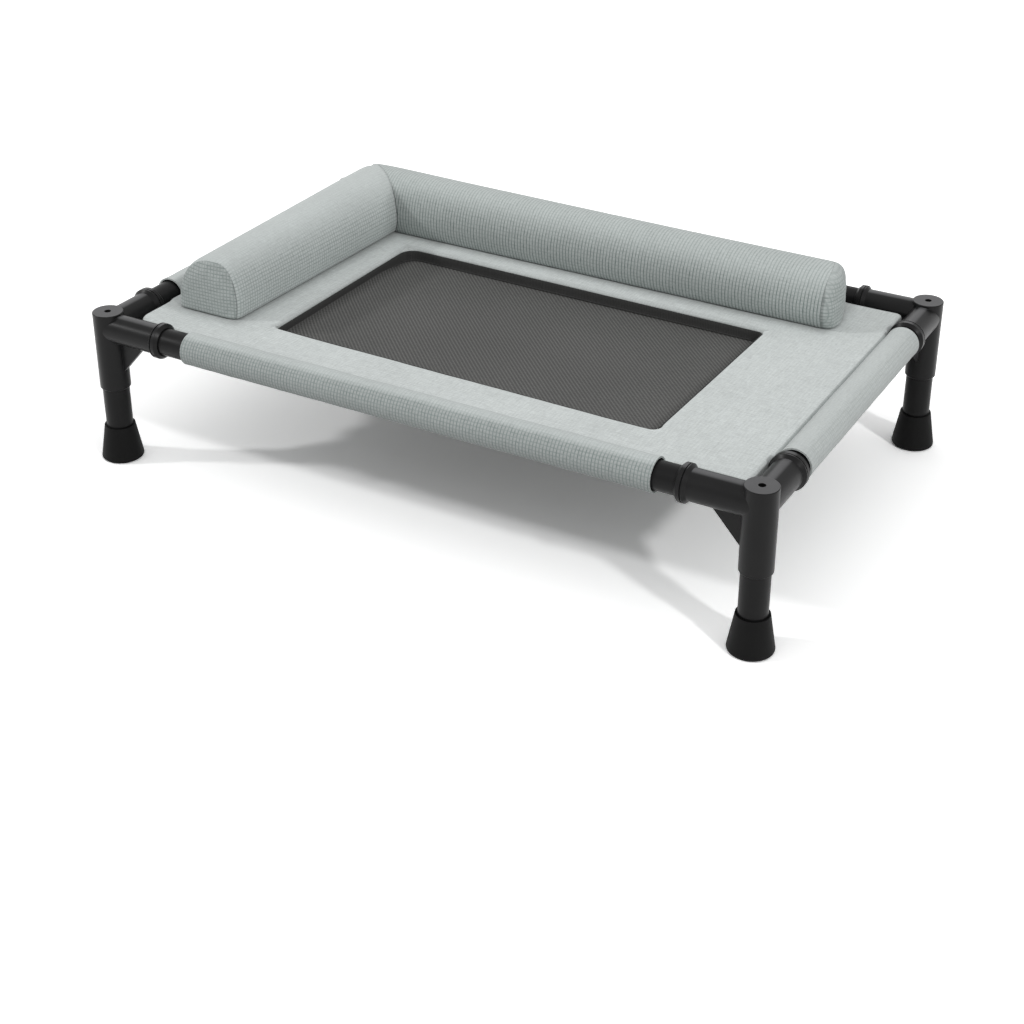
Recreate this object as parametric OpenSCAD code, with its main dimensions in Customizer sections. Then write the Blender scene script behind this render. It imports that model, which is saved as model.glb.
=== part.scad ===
// Raised dog cot: tube frame on four legs, fabric deck with a mesh window, L-shaped bolster.
// Millimetres, +Z up, feet on z = 0, long side along X, front towards -Y.

/* [Overall size] */
// Length over the feet
overall_l = 660; // [560:1:840]
// Width over the feet
overall_w = 420; // [390:1:640]
// Height of the connector tops above the floor
frame_h = 144.5; // [125:0.5:200]

/* [Tubes] */
// Outer diameter of rails and legs
tube_d = 24; // [21:0.5:26]
// Wall thickness of rails and legs
tube_wall = 1.2; // [0.8:0.1:2]
// Radial play of a tube in its socket
socket_gap = 0.1; // [0.05:0.05:0.3]

/* [Corner connectors] */
// Height of the connector top above the rail axes
rail_drop = 15; // [14.5:0.5:22]
// Wall of the upright barrel
barrel_wall = 1.6; // [1.2:0.1:2]
// Height of the barrel's lower mouth above the floor
barrel_low = 71; // [45:1:80]
// Chamfer at the barrel's lower mouth
mouth_chamfer = 1.0; // [0.4:0.1:1.2]
// Thickness of the flat disc that closes the barrel
cap_t = 3.6; // [2:0.1:6]
// Diameter of the hole through the disc
cap_hole_d = 6; // [3:0.5:10]
// Wall of the socket arms
arm_wall = 1.1; // [0.9:0.1:1.6]
// Distance from the leg axis to the rail's end stop
stop_dist = 16; // [15:0.5:20]
// Long-side arm, from the leg axis to its mouth
arm_x = 65; // [55:1:80]
// Short-side arm, from the leg axis to its mouth
arm_y = 60; // [50:1:64]
// Width of the bead ring on the long-side arm
ring_x = 10; // [8:0.5:14]
// Width of the bead ring on the short-side arm
ring_y = 11; // [9:0.5:14]
// Height of a bead ring above its arm
ring_lift = 2.6; // [1:0.1:3]
// Width of the groove in a bead ring
groove_w = 1.0; // [0.6:0.1:1.4]
// Place of the groove, as a share of the ring's width from the mouth
groove_at = 0.62; // [0.5:0.01:0.66]
// Depth of the groove in a bead ring
groove_deep = 1.2; // [0.4:0.1:2]
// Thickness of the gusset webs
gusset_t = 4; // [2:0.5:6]
// Reach of a gusset along its arm, from the leg axis
gusset_reach = 38; // [28:1:39]
// Height of a gusset on the barrel, below the arm's underside
gusset_drop = 27; // [12:1:34]

/* [Feet] */
// Diameter of a foot at the floor
foot_base_d = 38; // [34:1:50]
// Height of a foot
foot_h = 33; // [20:1:40]
// Wall of a foot at its rim
foot_wall = 1.7; // [1.2:0.1:2.5]
// Thickness under the leg
foot_floor = 4; // [2:0.5:8]
// Radius of the rounded floor edge
foot_edge = 2.5; // [1:0.5:3.5]

/* [Fabric cover] */
// Play between a sleeve and its rail
sleeve_gap = 0.3; // [0.2:0.1:0.6]
// Thickness of a sleeve, two layers of cloth
sleeve_t = 2; // [1:0.1:2.5]
// Distance from the leg axis to a front or back sleeve's end
sleeve_end_x = 84; // [82:1:110]
// Distance from the leg axis to a side sleeve's end
sleeve_end_y = 65; // [65:1:80]
// Width of the seam tongue under the deck
tongue_w = 15; // [8:1:20]
// Thickness of the seam tongue
tongue_t = 1.2; // [0.8:0.1:2]
// Height of the deck's top above the rail axes
deck_rise = 5.5; // [4:0.5:8]
// Thickness of the padded deck panel
deck_t = 12; // [6:0.5:14]
// Gap between the deck's edge and a sleeve
deck_gap = 0.3; // [0.2:0.1:1]

/* [Mesh window] */
// Window's left edge from the left leg axes
window_left = 139; // [125:1:180]
// Window's right edge from the right leg axes
window_right = 108.5; // [60:0.5:180]
// Window's front edge from the front leg axes
window_front = 57; // [48:0.5:80]
// Window's back edge from the back leg axes
window_back = 117; // [105:1:130]
// Radius of the window's corners
window_r = 12; // [6:1:24]
// Thickness of the mesh
mesh_t = 0.8; // [0.5:0.1:1.5]
// Lap of the mesh under the deck
mesh_lap = 10; // [6:1:14]
// Thickness of the binding on the window's wall
binding_t = 1.3; // [0.8:0.1:2]
// Drop of the binding below the deck's top
binding_drop = 0.6; // [0.2:0.1:1.5]

/* [Bolster] */
// Outer side of the left arm from the left leg axes
bolster_left = 32; // [26:1:44]
// Outer side of the back arm from the back leg axes
bolster_back = 16; // [15:0.5:24]
// Front end of the left arm from the front leg axes
bolster_front = 57; // [45:0.5:80]
// Right end of the back arm from the right leg axes
bolster_right = 68.5; // [50:0.5:120]
// Width of an arm at its fullest
bolster_w = 75; // [64:1:80]
// Width of the back arm at the mitre
corner_w = 64; // [56:1:74]
// Height of an arm above the deck at its closed end
bolster_h = 52; // [40:0.5:70]
// Extra height of the arms at the mitre
corner_lift = 5; // [0:0.5:8]
// Distance from an arm's outer side to its crest
crest_in = 44; // [36:1:48]
// Fullness of the steep inner side
inner_full = 2.7; // [2:0.1:4]
// Fullness of the sloping outer side
outer_full = 2.2; // [2:0.1:3]
// How far the foot of an arm is drawn in
base_draw = 4; // [1:0.5:6]
// Height over which the foot is drawn in
base_rise = 14; // [8:1:20]
// Size of the closed end beside the full section
end_size = 0.91; // [0.86:0.01:0.98]
// Length over which the end is drawn in
end_len = 14; // [8:1:20]
// Size of the section at the mitre seam beside the full section
mitre_size = 0.98; // [0.93:0.005:0.99]
// Length over which the mitre is drawn in
mitre_len = 14; // [8:1:24]
// Half of the gap at the mitre seam
mitre_gap = 0.2; // [0.1:0.1:0.5]
// Thickness of an end panel
panel_t = 1.4; // [1:0.1:3]

/* [Hidden] */
$fn = 96;
eps = 0.01;
// How far a cutter reaches past what it cuts
cut = 1;
leg_x = overall_l / 2 - foot_base_d / 2;
leg_y = overall_w / 2 - foot_base_d / 2;
rail_z = frame_h - rail_drop;
tube_r = tube_d / 2;
bore_r = tube_r + socket_gap;
barrel_r = bore_r + barrel_wall;
arm_r = bore_r + arm_wall;
ring_r = arm_r + ring_lift;
leg_top = frame_h - cap_t;
foot_rim_r = bore_r + foot_wall;
sleeve_in = tube_r + sleeve_gap;
sleeve_r = sleeve_in + sleeve_t;
deck_top = rail_z + deck_rise;
deck_low = deck_top - deck_t;
deck_in = sleeve_r + deck_gap;
corner_in = max(deck_in, ring_r + 2 * deck_gap);
win_x0 = window_left - leg_x;
win_x1 = leg_x - window_right;
win_y0 = window_front - leg_y;
win_y1 = leg_y - window_back;
in_full_w = bolster_w - crest_in;
bol_x = bolster_left - leg_x;
bol_y = leg_y - bolster_back;
bol_front = bolster_front - leg_y;
bol_right = leg_x - bolster_right;
section_n = 30;
ease_steps = [0, 0.08, 0.22, 0.45, 0.7, 1];

// Bead ring at an arm's mouth: chamfer, bead, groove, collar, chamfer
function ring_line(mouth, w) = [
    [arm_r, mouth - w],
    [ring_r, mouth - w + ring_lift],
    [ring_r, mouth - groove_at * w - groove_w / 2],
    [ring_r - groove_deep, mouth - groove_at * w - groove_w / 2],
    [ring_r - groove_deep, mouth - groove_at * w + groove_w / 2],
    [ring_r, mouth - groove_at * w + groove_w / 2],
    [ring_r, mouth - ring_lift],
    [arm_r, mouth]
];

module socket_arm(mouth, w) {
    rotate_extrude()
        polygon(concat([[0, 0], [arm_r, 0]], ring_line(mouth, w), [[0, mouth]]));
}

// Triangular web under an arm that runs along +X
module gusset() {
    under = rail_z - arm_r;
    translate([0, gusset_t / 2, 0])
        rotate([90, 0, 0])
            linear_extrude(gusset_t)
                polygon([
                    [bore_r + eps, under + arm_r / 2],
                    [bore_r + eps, under - gusset_drop],
                    [barrel_r, under - gusset_drop],
                    [gusset_reach, under + eps],
                    [gusset_reach, under + arm_wall / 2]
                ]);
}

// Three-way connector with the leg axis on Z and its arms along +X and +Y
module connector() {
    difference() {
        union() {
            rotate_extrude()
                polygon([
                    [0, barrel_low],
                    [barrel_r - mouth_chamfer, barrel_low],
                    [barrel_r, barrel_low + mouth_chamfer],
                    [barrel_r, frame_h - mouth_chamfer / 2],
                    [barrel_r - mouth_chamfer / 2, frame_h],
                    [0, frame_h]
                ]);
            translate([0, 0, rail_z]) {
                rotate([0, 90, 0])
                    socket_arm(arm_x, ring_x);
                rotate([-90, 0, 0])
                    socket_arm(arm_y, ring_y);
            }
            gusset();
            rotate([0, 0, 90])
                gusset();
        }
        translate([0, 0, barrel_low - cut])
            cylinder(r = bore_r, h = leg_top - barrel_low + cut);
        translate([0, 0, leg_top - cut])
            cylinder(d = cap_hole_d, h = cap_t + 2 * cut);
        translate([stop_dist, 0, rail_z])
            rotate([0, 90, 0])
                cylinder(r = bore_r, h = arm_x);
        translate([0, stop_dist, rail_z])
            rotate([-90, 0, 0])
                cylinder(r = bore_r, h = arm_y);
    }
}

module tube(len) {
    difference() {
        cylinder(r = tube_r, h = len);
        translate([0, 0, -cut])
            cylinder(r = tube_r - tube_wall, h = len + 2 * cut);
    }
}

module long_rail() {
    reach = leg_x - stop_dist;
    translate([-reach, 0, rail_z])
        rotate([0, 90, 0])
            tube(2 * reach);
}

module short_rail() {
    reach = leg_y - stop_dist;
    translate([0, -reach, rail_z])
        rotate([-90, 0, 0])
            tube(2 * reach);
}

module leg() {
    translate([0, 0, foot_floor])
        tube(leg_top - foot_floor);
}

module foot() {
    base_r = foot_base_d / 2;
    difference() {
        rotate_extrude()
            union() {
                polygon([
                    [0, 0],
                    [base_r - foot_edge, 0],
                    [base_r - foot_edge, foot_edge],
                    [base_r, foot_edge],
                    [foot_rim_r, foot_h],
                    [0, foot_h]
                ]);
                intersection() {
                    translate([base_r - foot_edge, foot_edge])
                        circle(r = foot_edge);
                    translate([base_r - foot_edge, 0])
                        square([foot_edge, foot_edge]);
                }
            }
        translate([0, 0, foot_floor])
            cylinder(r = bore_r, h = foot_h);
    }
}

// Sleeve along X on a rail at y = 0, seam tongue towards +Y
module sleeve(half) {
    difference() {
        union() {
            translate([-half, 0, rail_z])
                rotate([0, 90, 0])
                    cylinder(r = sleeve_r, h = 2 * half);
            translate([-half, 0, deck_low - tongue_t])
                cube([2 * half, sleeve_r + tongue_w, tongue_t]);
        }
        translate([-half - cut, 0, rail_z])
            rotate([0, 90, 0])
                cylinder(r = sleeve_in, h = 2 * half + 2 * cut);
    }
}

// Window outline, larger by grow on every side
module window_shape(grow) {
    r = window_r + grow;
    x0 = win_x0 - grow;
    x1 = win_x1 + grow;
    y0 = win_y0 - grow;
    y1 = win_y1 + grow;
    translate([x0 + r, y0])
        square([x1 - x0 - 2 * r, y1 - y0]);
    translate([x0, y0 + r])
        square([x1 - x0, y1 - y0 - 2 * r]);
    for (x = [x0 + r, x1 - r], y = [y0 + r, y1 - r])
        translate([x, y])
            circle(r = r);
}

module deck_shape() {
    full_x = leg_x - deck_in;
    full_y = leg_y - deck_in;
    difference() {
        union() {
            square([2 * (leg_x - corner_in), 2 * (leg_y - corner_in)], center = true);
            square([2 * full_x, 2 * (leg_y - sleeve_end_y)], center = true);
            square([2 * (leg_x - sleeve_end_x), 2 * full_y], center = true);
        }
        window_shape(0);
    }
}

// Section of an arm: v inwards from the outer side, h above the deck, both drawn in by k
function side_w(a) = a < 90 ? in_full_w : -crest_in;
function side_n(a) = a < 90 ? inner_full : outer_full;
function draw(h) = h < base_rise ? base_draw * pow(1 - h / base_rise, 2) : 0;
function sec_h(a) = bolster_h * pow(max(0, sin(a)), 2 / side_n(a));
function sec_u(a) = side_w(a) * pow(abs(cos(a)), 2 / side_n(a)) - sign(90 - a) * draw(sec_h(a));
function section(k) = [for (i = [0:section_n]) let (a = 180 * i / section_n)
    [crest_in + k * sec_u(a), k * sec_h(a)]];

// Size of the section at a distance d from a closed end or from the mitre
function ease(d, len, low) = d >= len ? 1 : low + (1 - low) * sqrt(1 - pow(1 - d / len, 2));

// Stations along an arm: distance, section size, 0 at the closed end or 1 at the mitre
function arm_stations(out_len) = concat(
    [for (s = ease_steps) [s * end_len, ease(s * end_len, end_len, end_size), 0]],
    [for (i = [len(ease_steps) - 1:-1:0]) let (s = ease_steps[i] * mitre_len)
        [out_len - mitre_gap - s, ease(s, mitre_len, mitre_size), 1]]
);

// Arm along +X from its closed end at x = 0, outer side on y = 0, inner side at +Y.
// out_len is the length of the outer side, mitre_w the width at the mitre,
// run how much shorter the inner side is than the outer one.
module bolster_arm(out_len, mitre_w, run) {
    st = arm_stations(out_len);
    rows = len(st);
    cols = section_n + 1;
    pts = [for (s = st) for (p = section(s[1]))
        let (t = p[0] / bolster_w, w = s[2] == 1 ? mitre_w : bolster_w)
        [s[0] - s[2] * t * run, t * w, p[1] * (1 + s[2] * corner_lift / bolster_h)]];
    skin = [for (j = [0:rows - 2]) for (i = [0:cols - 1])
        let (a = j * cols + i, b = j * cols + (i + 1) % cols)
        each [[a, b, b + cols], [a, b + cols, a + cols]]];
    caps = [[for (i = [cols - 1:-1:0]) i], [for (i = [0:cols - 1]) (rows - 1) * cols + i]];
    polyhedron(points = pts, faces = concat(skin, caps));
}

// Flat end panel standing on the deck, normal along X, outer side on y = 0
module end_panel() {
    rotate([90, 0, 90])
        linear_extrude(panel_t)
            polygon(section(end_size));
}

module corner_fl() {
    color([0.1, 0.1, 0.1])
        translate([-leg_x, -leg_y, 0])
            connector();
}
module corner_fr() {
    color([0.1, 0.1, 0.1])
        translate([leg_x, -leg_y, 0])
            mirror([1, 0, 0])
                connector();
}
module corner_bl() {
    color([0.1, 0.1, 0.1])
        translate([-leg_x, leg_y, 0])
            mirror([0, 1, 0])
                connector();
}
module corner_br() {
    color([0.1, 0.1, 0.1])
        translate([leg_x, leg_y, 0])
            rotate([0, 0, 180])
                connector();
}
module rail_front() {
    color([0.08, 0.08, 0.08])
        translate([0, -leg_y, 0])
            long_rail();
}
module rail_back() {
    color([0.08, 0.08, 0.08])
        translate([0, leg_y, 0])
            long_rail();
}
module rail_left() {
    color([0.08, 0.08, 0.08])
        translate([-leg_x, 0, 0])
            short_rail();
}
module rail_right() {
    color([0.08, 0.08, 0.08])
        translate([leg_x, 0, 0])
            short_rail();
}
module leg_fl() {
    color([0.08, 0.08, 0.08])
        translate([-leg_x, -leg_y, 0])
            leg();
}
module leg_fr() {
    color([0.08, 0.08, 0.08])
        translate([leg_x, -leg_y, 0])
            leg();
}
module leg_bl() {
    color([0.08, 0.08, 0.08])
        translate([-leg_x, leg_y, 0])
            leg();
}
module leg_br() {
    color([0.08, 0.08, 0.08])
        translate([leg_x, leg_y, 0])
            leg();
}
module foot_fl() {
    color([0.06, 0.06, 0.06])
        translate([-leg_x, -leg_y, 0])
            foot();
}
module foot_fr() {
    color([0.06, 0.06, 0.06])
        translate([leg_x, -leg_y, 0])
            foot();
}
module foot_bl() {
    color([0.06, 0.06, 0.06])
        translate([-leg_x, leg_y, 0])
            foot();
}
module foot_br() {
    color([0.06, 0.06, 0.06])
        translate([leg_x, leg_y, 0])
            foot();
}
module sleeve_front() {
    color([0.68, 0.71, 0.7])
        translate([0, -leg_y, 0])
            sleeve(leg_x - sleeve_end_x);
}
module sleeve_back() {
    color([0.68, 0.71, 0.7])
        translate([0, leg_y, 0])
            rotate([0, 0, 180])
                sleeve(leg_x - sleeve_end_x);
}
module sleeve_left() {
    color([0.68, 0.71, 0.7])
        translate([-leg_x, 0, 0])
            rotate([0, 0, -90])
                sleeve(leg_y - sleeve_end_y);
}
module sleeve_right() {
    color([0.68, 0.71, 0.7])
        translate([leg_x, 0, 0])
            rotate([0, 0, 90])
                sleeve(leg_y - sleeve_end_y);
}
module deck_panel() {
    color([0.75, 0.78, 0.77])
        translate([0, 0, deck_low])
            linear_extrude(deck_t)
                deck_shape();
}
module mesh_panel() {
    color([0.3, 0.3, 0.29])
        translate([0, 0, deck_low - mesh_t])
            linear_extrude(mesh_t)
                window_shape(mesh_lap);
}
module window_binding() {
    color([0.12, 0.12, 0.12])
        translate([0, 0, deck_low])
            linear_extrude(deck_t - binding_drop)
                difference() {
                    window_shape(-deck_gap / 2);
                    window_shape(-deck_gap / 2 - binding_t);
                }
}
module bolster_arm_left() {
    color([0.66, 0.69, 0.68])
        translate([bol_x, bol_front, deck_top])
            rotate([0, 0, 90])
                mirror([0, 1, 0])
                    bolster_arm(bol_y - bol_front, bolster_w, corner_w);
}
module bolster_arm_back() {
    color([0.66, 0.69, 0.68])
        translate([bol_right, bol_y, deck_top])
            rotate([0, 0, 180])
                bolster_arm(bol_right - bol_x, corner_w, bolster_w);
}
module bolster_end_front() {
    color([0.6, 0.63, 0.62])
        translate([bol_x, bol_front, deck_top])
            rotate([0, 0, -90])
                end_panel();
}
module bolster_end_right() {
    color([0.6, 0.63, 0.62])
        translate([bol_right, bol_y, deck_top])
            mirror([0, 1, 0])
                end_panel();
}

corner_fl();
corner_fr();
corner_bl();
corner_br();
rail_front();
rail_back();
rail_left();
rail_right();
leg_fl();
leg_fr();
leg_bl();
leg_br();
foot_fl();
foot_fr();
foot_bl();
foot_br();
sleeve_front();
sleeve_back();
sleeve_left();
sleeve_right();
deck_panel();
mesh_panel();
window_binding();
bolster_arm_left();
bolster_arm_back();
bolster_end_front();
bolster_end_right();
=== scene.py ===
"""Raised dog cot: black tube frame with moulded corners, padded fabric deck, mesh window and L-shaped bolster.

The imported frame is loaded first. Each operator then dresses one group of pieces around it, and the last one
sets the stage. All lengths are metres in the frame's own axes: +X along the cot, +Y to the back, +Z up.
"""

import math
from collections import namedtuple
from functools import partial

import bmesh
import bpy
import numpy as np
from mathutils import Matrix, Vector


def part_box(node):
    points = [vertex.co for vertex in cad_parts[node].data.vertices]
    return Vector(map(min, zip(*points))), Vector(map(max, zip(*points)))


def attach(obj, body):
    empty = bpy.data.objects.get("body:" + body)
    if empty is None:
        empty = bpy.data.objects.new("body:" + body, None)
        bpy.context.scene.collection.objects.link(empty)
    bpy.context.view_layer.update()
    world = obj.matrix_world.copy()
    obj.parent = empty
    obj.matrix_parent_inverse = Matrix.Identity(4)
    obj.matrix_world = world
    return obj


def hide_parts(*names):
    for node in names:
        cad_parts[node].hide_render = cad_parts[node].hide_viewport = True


bl_info = {
    "name": "Raised dog cot",
    "version": (1, 0, 0),
    "blender": (4, 5, 0),
    "location": "3D View > Sidebar > Dog cot",
    "description": "Dresses the frame of a raised dog cot with fabric, mesh and a padded bolster",
    "category": "Add Mesh",
}

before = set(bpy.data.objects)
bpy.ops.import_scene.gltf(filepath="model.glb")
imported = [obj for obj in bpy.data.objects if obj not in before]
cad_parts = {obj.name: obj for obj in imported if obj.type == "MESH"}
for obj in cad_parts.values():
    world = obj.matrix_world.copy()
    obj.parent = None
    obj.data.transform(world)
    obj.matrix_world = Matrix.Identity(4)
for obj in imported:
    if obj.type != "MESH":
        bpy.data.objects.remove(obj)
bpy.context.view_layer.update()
MM = 0.001

# Places that the frame gives
RAIL_LOW, RAIL_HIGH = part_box("rail_front")
RAIL_Z = (RAIL_LOW.z + RAIL_HIGH.z) / 2
SLEEVE_R = RAIL_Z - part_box("sleeve_front")[0].z
DECK_LOW, DECK_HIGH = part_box("deck_panel")
MESH_LOW, MESH_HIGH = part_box("mesh_panel")
BINDING_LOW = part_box("window_binding")[0]
# The cloth's own window is a little askew: its front left, front right, back right and back left corner
WINDOW = [Vector((x * MM, y * MM, 0))
          for x, y in ((-175, -127.6), (198.4, -134.5), (201.3, 78.2), (-175, 87.0))]
WINDOW_SIDES = list(zip(WINDOW, WINDOW[1:] + WINDOW[:1]))

# How fine the meshes are
SLEEVE_RING = 72  # points round a sleeve
SLEEVE_STEP = 6 * MM
CORNER_STEPS = 8  # in a rounded corner in plan
DECK_CUTS = (76, 42)  # along and across the window and the deck
DECK_RINGS = 9  # between the window and the deck's edge
MESH_CUTS = (184, 54)
TAPE_CUTS = (60, 34)
ARM_STEP = 5.5 * MM
ARCH = 44  # steps over an arm
BASE = 12  # steps along its base
FILL_FRAMES = 20  # of the cloth simulation

# Kinds of value that a user would change
Colour = partial(bpy.props.FloatVectorProperty, subtype="COLOR")
Length = partial(bpy.props.FloatProperty, unit="LENGTH")
Lengths = partial(bpy.props.FloatVectorProperty, unit="LENGTH")
Amount = bpy.props.FloatProperty
Form = partial(bpy.props.FloatVectorProperty, size=5)
FORM_VALUES = "width, crest's share of it, fullness inside and outside, drawn-in foot"
PLAN_CORNERS = "Radius of the front left, front right, back right and back left corner"


class CotFrameLooks(bpy.types.PropertyGroup):
    """Finish of the connectors, tubes and feet."""

    connector: Colour(name="Connector", description="Colour of the moulded corners",
                      default=(0.0070, 0.0070, 0.0072))
    tube: Colour(name="Tube", description="Colour of the powder-coated tubes", default=(0.0050, 0.0050, 0.0052))
    foot: Colour(name="Foot", description="Colour of the rubber feet", default=(0.0030, 0.0030, 0.0030))
    # Painted light: the connectors are painted paler where they face up, as if lit from overhead
    top: Amount(name="Top", description="How much paler the connectors are where they face up", default=12.0)
    edge: Length(name="Edge radius", description="Small rounding of moulded edges", default=0.7 * MM)


class CotCoverLooks(bpy.types.PropertyGroup):
    """Cloth of the deck and sleeves, and the mesh window."""

    cloth: Colour(name="Cloth", description="Colour of the deck cloth", default=(0.580, 0.612, 0.604))
    # Painted shade: the sleeves' cloth is the deck's cloth made darker, the front and back sleeves most
    long_sleeve: Colour(name="Long sleeves", description="Colour of the cloth of the front and back sleeve",
                        default=(0.398, 0.424, 0.418))
    short_sleeve: Colour(name="Short sleeves", description="Colour of the cloth of the left and right sleeve",
                         default=(0.505, 0.535, 0.527))
    groove: Colour(name="Groove", description="Colour in the grooves between the weave's ribs",
                   default=(0.157, 0.204, 0.191))
    mesh: Colour(name="Mesh", description="Colour of the window's mesh", default=(0.086, 0.086, 0.083))
    binding: Colour(name="Binding", description="Colour of the tape round the window", default=(0.042, 0.042, 0.041))
    pitch: Length(name="Weave pitch", description="Distance between the weave's ribs", default=3.0 * MM)
    mesh_pitch: Length(name="Mesh pitch", description="Distance between the mesh's threads", default=3.0 * MM)
    cloth_t: Length(name="Cloth", description="Thickness of the sleeve cloth", default=1.4 * MM)
    tongue: Length(name="Seam allowance", description="Width of the sleeve's seam under the deck", default=15 * MM)
    hem_r: Length(name="Hem", description="Radius of the rolled edge round the window", default=3.0 * MM)
    edge_r: Length(name="Deck edge", description="Radius of the deck's outer edge", default=4.2 * MM)
    window_r: Lengths(name="Window corners", description=PLAN_CORNERS, size=4,
                      default=(4 * MM, 9 * MM, 5 * MM, 15 * MM))
    corner_r: Lengths(name="Deck corners", description=PLAN_CORNERS, size=4,
                      default=(14 * MM, 4 * MM, 4 * MM, 4 * MM))
    short: Lengths(name="Short ends", size=2, default=(7 * MM, 20 * MM),
                   description="How far the front sleeve stops short at the left, and the left one in front")
    curl: Length(name="Curl", description="How far the mesh rises along the window's left side", default=6.5 * MM)
    curl_w: Length(name="Curl width", description="Width of the mesh that rises there", default=13 * MM)
    sag: Length(name="Sag", description="How far the mesh hangs in its middle", default=1.6 * MM)


class CotBolsterLooks(bpy.types.PropertyGroup):
    """Shape and cloth of the padded bolster."""

    # Painted light and shade: the three bolster cloths are one fabric in copies of different brightness, palest on the
    # left arm, darker on the back arm and darkest on the end panels
    left_cloth: Colour(name="Left cloth", description="Colour of the left arm's cloth, with its ribs along the arm",
                       default=(0.528, 0.563, 0.554))
    back_cloth: Colour(name="Back cloth", description="Colour of the back arm's cloth, with its ribs round the arm",
                       default=(0.486, 0.522, 0.512))
    panel_cloth: Colour(name="Panel cloth", description="Colour of the cloth of the end panels",
                        default=(0.448, 0.481, 0.472))
    pitch: Length(name="Rib pitch", description="Distance between the ribs of the bolster's cloth", default=3.25 * MM)
    left_end: Form(name="Left end", description=f"Left arm at its end panel: {FORM_VALUES}",
                   default=(68.5 * MM, 0.62, 2.9, 2.2, 2 * MM))
    back_end: Form(name="Back end", description=f"Back arm at its end panel: {FORM_VALUES}",
                   default=(64 * MM, 0.453, 2.7, 3.4, 8 * MM))
    mitre: Form(name="Mitre", description=f"Left arm at the mitre: {FORM_VALUES}",
                default=(84 * MM, 0.524, 2.7, 2.2, 8 * MM))
    height: Length(name="Height", description="Height of the arms above the deck", default=52 * MM)
    rise: Lengths(name="Rise", size=3, default=(1.1 * MM, -3.6 * MM, -0.5 * MM),
                  description="Extra height at the end of the left and of the back arm and at the mitre")
    back_at: Lengths(name="Back end's place", size=2, default=(1 * MM, -5 * MM),
                     description="How far the back arm's end stands from the frame's end")
    corner_at: Lengths(name="Corner place", size=2, default=(-4 * MM, -2.3 * MM),
                       description="How far the filled corner stands from the frame's corner")
    corner_w: Length(name="Corner width", description="Width of the back arm where it meets the left one",
                     default=67 * MM)
    corner_r: Length(name="Corner radius", description="Radius of the bolster's outer corner in plan",
                     default=38 * MM)
    shoulder: Lengths(name="Shoulders", size=2, default=(8 * MM, 12 * MM),
                      description="Radius between each arm, left and back, and its end panel")
    bulge: Lengths(name="Bulge", size=2, default=(0.0, 9 * MM),
                   description="How far the inner part of each arm's end, left and back, stands out")
    lift: bpy.props.FloatVectorProperty(
        name="Lift", size=2, default=(0.08, 0.12),
        description="Rounding of the foot of each end panel, left and back, as a share of its inset")
    wrap: bpy.props.IntVectorProperty(
        name="Wrap", size=2, default=(2, 4),
        description="Quarters of the shoulder that each end panel, left and back, wraps round")
    draw_h: Length(name="Foot height", description="Height over which the foot is drawn in", default=20 * MM)
    dip: Length(name="Dip", description="How far the crown sinks at the mitre", default=0.9 * MM)
    pressure: Amount(name="Filling", description="Pressure of the filling in the cloth simulation", default=4.0)
    swell: Length(name="Swell", description="Most that the filling moves a point of the cloth", default=1.6 * MM)


class CotStageLooks(bpy.types.PropertyGroup):
    """Camera and light."""

    eye: Lengths(name="Eye", description="Place of the camera", subtype="XYZ", default=(0.7200, -1.2753, 0.8011))
    azimuth: Amount(name="Azimuth", description="Turn of the camera from the front towards the right",
                    default=math.radians(29.747), subtype="ANGLE")
    elevation: Amount(name="Elevation", description="Tilt of the camera below the horizon",
                      default=math.radians(27.143), subtype="ANGLE")
    focal_px: Amount(name="Focal length", description="Focal length in pixels of the square picture", default=1803.1)
    picture_px: Amount(name="Picture", description="Side of the square picture in pixels", default=1024.0)
    axis_px: Amount(name="Optical axis", description="Height of the optical axis in the picture, from its top",
                    default=400.0)
    floor: Colour(name="Floor", description="Colour of the floor", default=(0.60, 0.60, 0.60))
    whiten: Amount(name="Whiten", description="How much brighter the camera sees the floor", default=0.87)
    sky: Amount(name="Sky", description="Light from overhead", default=0.60)
    fill: Amount(name="Fill", description="Even light from all round", default=0.40)
    lamp_left: Amount(name="Left lamp", description="Strength of the soft lamp at the front left", default=0.80)
    lamp_right: Amount(name="Right lamp", description="Strength of the soft lamp at the front right", default=0.88)
    lamp_size: Amount(name="Lamp size", description="Angle over which a lamp spreads its light",
                      default=math.radians(4), subtype="ANGLE")


# Modelling helpers


def deselect():
    """Object mode with nothing selected."""
    if bpy.context.mode != "OBJECT":
        bpy.ops.object.mode_set(mode="OBJECT")
    bpy.ops.object.select_all(action="DESELECT")


def activate(obj):
    """obj alone is selected and active."""
    deselect()
    obj.select_set(True)
    bpy.context.view_layer.objects.active = obj


def edit(obj):
    activate(obj)
    bpy.ops.object.mode_set(mode="EDIT")


def empty_mesh():
    """A new object in edit mode, with nothing in its mesh yet."""
    deselect()
    bpy.ops.mesh.primitive_plane_add(size=1)
    obj = bpy.context.active_object
    edit(obj)
    bpy.ops.mesh.select_all(action="SELECT")
    bpy.ops.mesh.delete(type="VERT")
    return obj


def select(obj, kind, test):
    """In edit mode, selects only the verts, edges or faces that pass the test. Returns how many."""
    bpy.ops.mesh.select_mode(type={"verts": "VERT", "edges": "EDGE", "faces": "FACE"}[kind])
    bpy.ops.mesh.select_all(action="DESELECT")
    bm = bmesh.from_edit_mesh(obj.data)
    found = [item for item in getattr(bm, kind) if test(item)]
    for item in found:
        item.select_set(True)
    bm.select_flush_mode()
    bmesh.update_edit_mesh(obj.data)
    return len(found)


def extrude(offset):
    bpy.ops.mesh.extrude_region_move(TRANSFORM_OT_translate={"value": offset})


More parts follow.
